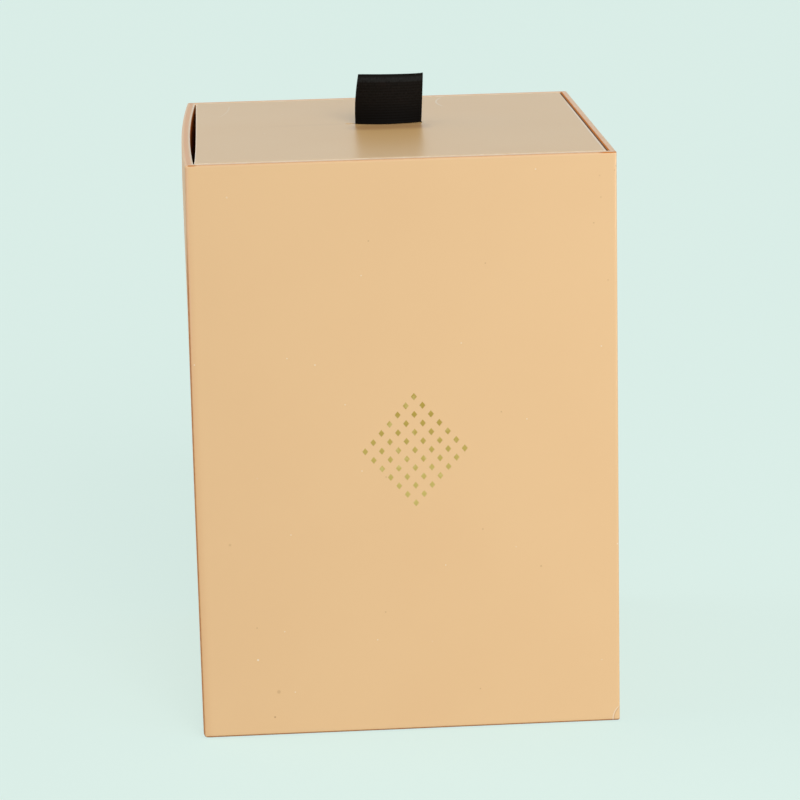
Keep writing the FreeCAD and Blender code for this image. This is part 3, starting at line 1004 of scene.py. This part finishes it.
side_line = [
    (tail_reach, tail_level),
    (1.5 * mm, tail_level),
    (0.2 * mm, tail_level),
    (0.2 * mm, panel_top - 1.2 * mm),
    (0.2 * mm, panel_top + 1.5 * mm),
    (0.5 * mm, panel_top + 7.0 * mm),
    (0.95 * mm, panel_top + 12.0 * mm),
    (1.15 * mm, loop_top - 2.4 * mm),
    (0.95 * mm, loop_top - 0.25 * mm),
]
ribbon_line = np.array([(-y, z) for y, z in side_line] + side_line[::-1])
ribbon_line = cut_corners(ribbon_line, 5)
steps = np.linalg.norm(np.diff(ribbon_line, axis=0), axis=1)
ribbon_at = np.concatenate([[0], np.cumsum(steps)])
ribbon_length = ribbon_at[-1]
print("ribbon:", round(ribbon_length / mm, 1), "mm long")

# %% [markdown]
# The strip's section is a thin loop: the upper face from edge to edge, then the lower face back. Each rib
# lifts both faces a little, and a groove sets off the flat edge. The loop was pushed down a little, so it
# comes out of the slit forwards, and all of it is bowed to the front between its edges. It leans to the
# right, its left edge is slack and stands out half way up, and the weft makes small loops down the right
# edge.

# %% Shares across the ribbon
half_shares = np.array([0, 0.3, 0.6, 0.82, 0.895, 0.91, 0.925, 0.95, 0.985, 1])
across_shares = np.concatenate([-half_shares[:0:-1], half_shares])
selvedge_from = 0.91
rib_height = 0.07 * mm
core_half = 0.15 * mm  # half the ribbon's thickness between two ribs
edge_rib = 0.45  # ribs are lower on the flat edge
groove_depth = 0.9  # as a share of a rib's height
lean = 1.25 * mm
bow = 1.4 * mm  # at the top of the loop
foot_bow = 3.0 * mm
foot_forward = 1.6 * mm
left_out = 0.045  # share by which the slack left edge stands out half way up
left_in = 0.036  # and by which it is drawn in at the top
right_in = 0.018
picot_reach = 0.10 * mm  # of the small loops of weft
hook_reach = 0.45 * mm  # the right edge hooks out by this where it leaves the slit


def ribbon_half_thickness(share, rib):
    """Half the ribbon's thickness at a share of its half width, from a groove up to the top of a rib."""
    if abs(share) > 0.99:
        return core_half
    ridge = rib * (edge_rib if abs(share) > selvedge_from + 0.005 else 1.0)
    groove = groove_depth if abs(abs(share) - selvedge_from) < 0.006 else 0.0
    return core_half + rib_height * (ridge - groove)


def ribbon_place(share, rise, above, rib):
    """How far a point lies to the right, forwards and up from the ribbon's middle line."""
    on_edge = abs(share) > 0.98
    slack = left_out * math.sin(math.pi * rise) - left_in * rise if share < 0 else -right_in * rise
    picot = picot_reach * (rib - 0.5) * (1.8 if share > 0 else 0.8) * on_edge * min(1.0, rise * 12)
    hook = hook_reach * max(0.0, 1 - abs(above) / (0.5 * mm)) * (on_edge and share > 0)
    right = share * ribbon_half * (1 + slack) + math.copysign(picot, share) + hook + lean * rise
    out_of_slit = held((above - 0.02 * mm) / (0.2 * mm))
    bowed = (bow * rise + foot_bow * (1 - rise)) * (1 - share**2)
    forwards = out_of_slit * (bowed + foot_forward * (1 - rise))
    corner_up = 0.25 * max(share, 0.0) ** 8  # the top right corner is pulled up
    lift = (0.38 - 0.18 * share + corner_up) * mm * max(0.0, rise - 0.6) / 0.4
    return right, forwards, lift


print("shares across the ribbon:", len(across_shares))

# %% [markdown]
# Rows are close together on the loop, seven to a rib, and further apart on the glued tails. At each row the
# two faces are set off from the middle line, square to the way it goes.

# %% Lay the ribbon along its line
free = (ribbon_at > tail_reach) & (ribbon_at < ribbon_length - tail_reach)
fine = np.arange(ribbon_at[free][0], ribbon_at[free][-1], rib_pitch / 7)
coarse = np.linspace(0, tail_reach, 14)[:-1]
laid_at = np.concatenate([coarse, fine, ribbon_length - coarse[::-1]])
line_y = np.interp(laid_at, ribbon_at, ribbon_line[:, 0])
line_z = np.interp(laid_at, ribbon_at, ribbon_line[:, 1])
line_go = np.stack([np.gradient(line_y, laid_at), np.gradient(line_z, laid_at)], axis=1)
line_go /= np.linalg.norm(line_go, axis=1)[:, None]

ribbon_points, ribbon_flat = [], []
for at, y, z, (go_y, go_z) in zip(laid_at, line_y, line_z, line_go):
    above = z - panel_top
    rise = held(above / (loop_top - panel_top))
    rib = 0.5 - 0.5 * math.cos(2 * math.pi * at / rib_pitch)
    for face, shares in ((1, across_shares), (-1, across_shares[::-1])):
        for share in shares:
            right_by, forwards, lift = ribbon_place(share, rise, above, rib)
            half = face * ribbon_half_thickness(share, rib if above > 0 else 0)
            point = (ribbon_x + right_by, ribbon_y + y - forwards + go_z * half, z - go_y * half + lift)
            ribbon_points.append(point)
            ribbon_flat.append((share * ribbon_half, at))
print("ribbon strip:", len(laid_at), "rows of ribs and edges")

# %% [markdown]
# The rows are joined by faces, and a flat cap closes each cut end.

# %% The ribbon as one closed mesh
width_count = len(across_shares)
ring_size = 2 * width_count
faces = []
for row in range(0, (len(laid_at) - 1) * ring_size, ring_size):
    for i in range(ring_size):
        beside = (i + 1) % ring_size
        faces.append([row + i, row + beside, row + ring_size + beside, row + ring_size + i])
last_row = (len(laid_at) - 1) * ring_size
for row in (0, last_row):
    for i in range(width_count - 1):
        cap = [row + i, row + i + 1, row + ring_size - 2 - i, row + ring_size - 1 - i]
        faces.append(cap[::-1] if row == 0 else cap)
corner_flat = [ribbon_flat[corner] for face in faces for corner in face]
ribbon_loop = new_piece("ribbon_loop", ribbon_points, faces, corner_flat)
print("ribbon:", len(faces), "faces")

# %% [markdown]
# Black grosgrain is nearly matt, but its polyester threads let a little light run along each rib. The weft
# shows as very fine ticks across the ribs. Beside the fold, where the ribs stand open, a lighter band is
# painted, a painted highlight where they catch the light, and towards the slit the cloth is painted darker,
# a painted shade. The pattern reads the flat sheet, so it bends with the cloth.

# %% Finish of the ribbon
def grosgrain(name):
    """Black ribbed ribbon."""
    finish = new_finish(name)
    flat_places = finish.places("UV")
    threads = finish.noise(finish.stretched(flat_places, (3600, 900, 1)), 1)
    wefts = finish.noise(finish.stretched(flat_places, (700, 5200, 1)), 1)
    clouds = finish.noise(flat_places, 160)
    from_fold = abs(finish.part(flat_places, "Y") - ribbon_length / 2)
    fold_highlight = from_fold.ramp(0.9 * mm, 1.9 * mm) * from_fold.ramp(3.6 * mm, 2.4 * mm)
    paint = finish.layered(
        colour(0.0040, 0.0026, 0.0016),
        (colour(0.0085, 0.0062, 0.0045), threads.ramp(0.4, 0.7)),
        (colour(0.0105, 0.0060, 0.0042), clouds.ramp(0.55, 0.75) * 0.4),
        # painted highlight beside the fold
        (colour(0.0150, 0.0150, 0.0142), fold_highlight * threads.ramp(0.2, 0.6)),
        # painted shade, darker towards the slit
        (colour(0.0020, 0.0012, 0.0007), from_fold.ramp(7 * mm, 17 * mm)),
    )
    return finish.surface(
        Base_Color=paint,
        Roughness=0.55 + 0.2 * wefts,
        Specular_IOR_Level=0.05,
        Normal=finish.bump(0.6 * threads + 0.4 * wefts, 0.05 * mm),
    )


ribbon_loop.data.materials.append(grosgrain("grosgrain_black"))
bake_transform(ribbon_loop)
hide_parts("ribbon_pull", "ribbon_tails")
print("ribbon declared as a folded sheet,", round(ribbon_length / mm), "mm long")

# %% [markdown]
# ## The foil ornament
#
# Gold foil is pressed into the paper with a hot metal die. The ornament is a plain diamond of small
# lozenges, each a thin plate with a bevelled rim, a hair above the paper, so that its edge stays crisp from
# close by.

# %% Stamp the ornament
foil_centre = (3.1 * mm, 106.7 * mm)
lozenge_pitch = (6.0 * mm, 6.6 * mm)
lozenge_half = (1.15 * mm, 1.45 * mm)
rings_out = 3
foil_lift = 0.10 * mm
counts = range(-rings_out, rings_out + 1)
centres = [
    (foil_centre[0] + lozenge_pitch[0] * (a + b) / 2, foil_centre[1] + lozenge_pitch[1] * (a - b) / 2)
    for a in counts
    for b in counts
]
plate_rings = [(1.0, 0.0), (0.9, foil_lift * 0.85), (0.72, foil_lift)]  # size and lift, from paper to top

points, faces = [], []
for x, z in centres:
    start = len(points)
    for scale, lift in plate_rings:
        for a, b in outwards:
            corner = (x + a * lozenge_half[0] * scale, z + b * lozenge_half[1] * scale)
            points.append((corner[0], -half_box - lift, corner[1]))
    for ring in range(2):
        for turn in range(4):
            low, high = start + 4 * ring, start + 4 * ring + 4
            faces.append([low + turn, low + (turn + 1) % 4, high + (turn + 1) % 4, high + turn])
    faces.append([start + 8 + turn for turn in range(4)])
    faces.append([start + turn for turn in reversed(range(4))])
foil_ornament = new_piece("foil_ornament", points, faces)
print("foil ornament:", len(centres), "lozenges")

# %% [markdown]
# Foil is metal, so its colour is the colour of what it reflects. It is also painted darker and redder
# towards the top of the ornament, a painted change in its reflection.

# %% Finish of the foil
def gold_foil(name):
    """Pressed gold foil: metal with the paper's tooth showing through it."""
    finish = new_finish(name)
    places = finish.places()
    tooth = finish.noise(places, 2600)
    patches = finish.noise(places, 420)
    paint = finish.layered(
        colour(0.66, 0.46, 0.15),
        # painted reflection: darker and redder towards the top
        (colour(0.50, 0.31, 0.065), finish.part(places, "Z").ramp(85 * mm, 130 * mm)),
        (colour(0.72, 0.55, 0.25), patches.ramp(0.55, 0.7) * 0.4),
    )
    return finish.surface(
        Base_Color=paint,
        Metallic=1.0,
        Roughness=0.26 + 0.16 * patches,
        Normal=finish.bump(tooth, 0.012 * mm),
    )


foil_ornament.data.materials.append(gold_foil("gold_foil"))
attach(foil_ornament, "sleeve")
print("foil is finished")

# %% [markdown]
# ## Floor, light and sky
#
# The box stands on a pale mint floor that fills the view. Most of the light comes from the front, low and a
# little from the right, so the front face is bright and the panel on top is calmer. The same lamps light
# the floor, and part of its colour is given straight to the camera and to reflections, so that it is even
# from edge to edge and still keeps the soft shadow at the foot of the box.

# %% Floor and sky
mint = (0.70, 0.85, 0.80)
floor_share = 0.825  # of the floor's colour that doesn't depend on the lamps
lamp_share = 0.22  # how strongly the lamps and the shadow show on it
floor_half = 9.0
floor_level = -0.05 * mm
corners = [(-1, -1), (1, -1), (1, 1), (-1, 1)]
floor_points = [(x * floor_half, y * floor_half, floor_level) for x, y in corners]
floor = new_piece("floor", floor_points, [[0, 1, 2, 3]])


def seen_directly(finish):
    """1 for rays from the camera, a reflection or a clear material, 0 for light that spreads."""
    return finish.ray("Camera").greater(finish.ray("Glossy")).greater(finish.ray("Transmission"))


def mint_floor(name):
    """A floor whose colour is partly its own light and partly the lamps'."""
    finish = new_finish(name)
    glow = finish.node("Emission", None, {"Color": colour(*mint), "Strength": floor_share})
    dark = finish.node("Emission", None, {"Strength": 0.0})
    own = finish.blended(dark, glow, seen_directly(finish))
    dull_mint = colour(*(lamp_share * share for share in mint))
    matt = finish.node("BsdfDiffuse", None, {"Color": dull_mint})
    return finish.worn_by(finish.node("AddShader", None, {0: own, 1: matt}))


floor.data.materials.append(mint_floor("mint_floor"))

sky_light = 0.45
studio_wall = colour(0.71, 0.855, 0.93)  # what a glossy face reflects
world = bpy.data.worlds.new("sky")
bpy.context.scene.world = world
sky = Finish(world)
shown_colour = sky.mixed(colour(*mint), studio_wall, sky.ray("Glossy"))
shown = sky.node("Background", None, {"Color": shown_colour, "Strength": 1.0})
lighting = sky.node("Background", None, {"Color": colour(1, 1, 1), "Strength": sky_light})
sky.worn_by(sky.blended(lighting, shown, seen_directly(sky)), "OutputWorld")
print("floor and sky are mint")

# %% [markdown]
# Three lamps stand round the box. The key is a broad soft one in front. A weaker one at the left reaches the
# left wall and the rims. A round panel near the box, low and at the right, makes the front's right half the
# brighter one.

# %% Lamps
def hang_lamp(name, kind, energy, azimuth, elevation, distance, **settings):
    """A lamp that looks at the middle of the box from this side: azimuth 0 is the front, 90 the right."""
    data = bpy.data.lights.new(name, kind)
    data.energy = energy
    for setting, value in settings.items():
        setattr(data, setting, value)
    turn, rise = math.radians(azimuth), math.radians(elevation)
    away = Vector((math.sin(turn) * math.cos(rise), -math.cos(turn) * math.cos(rise), math.sin(rise)))
    lamp = placed(name, data)
    lamp.location = Vector((0, 0, box_top / 2)) + away * distance
    lamp.rotation_euler = away.to_track_quat("Z", "Y").to_euler()
    return lamp


hang_lamp("key", "SUN", 1.69, azimuth=14, elevation=26, distance=2.0, angle=math.radians(34))
side_lamp = hang_lamp("side", "SUN", 1.3, azimuth=-98, elevation=14, distance=2.0, angle=math.radians(40))
side_lamp.visible_glossy = False  # so broad that it leaves no shine of its own
hang_lamp("fill", "AREA", 2.6, azimuth=46, elevation=4, distance=0.85, shape="DISK", size=0.5)

bpy.context.scene.view_settings.view_transform = "Standard"
print("three lamps and the sky")
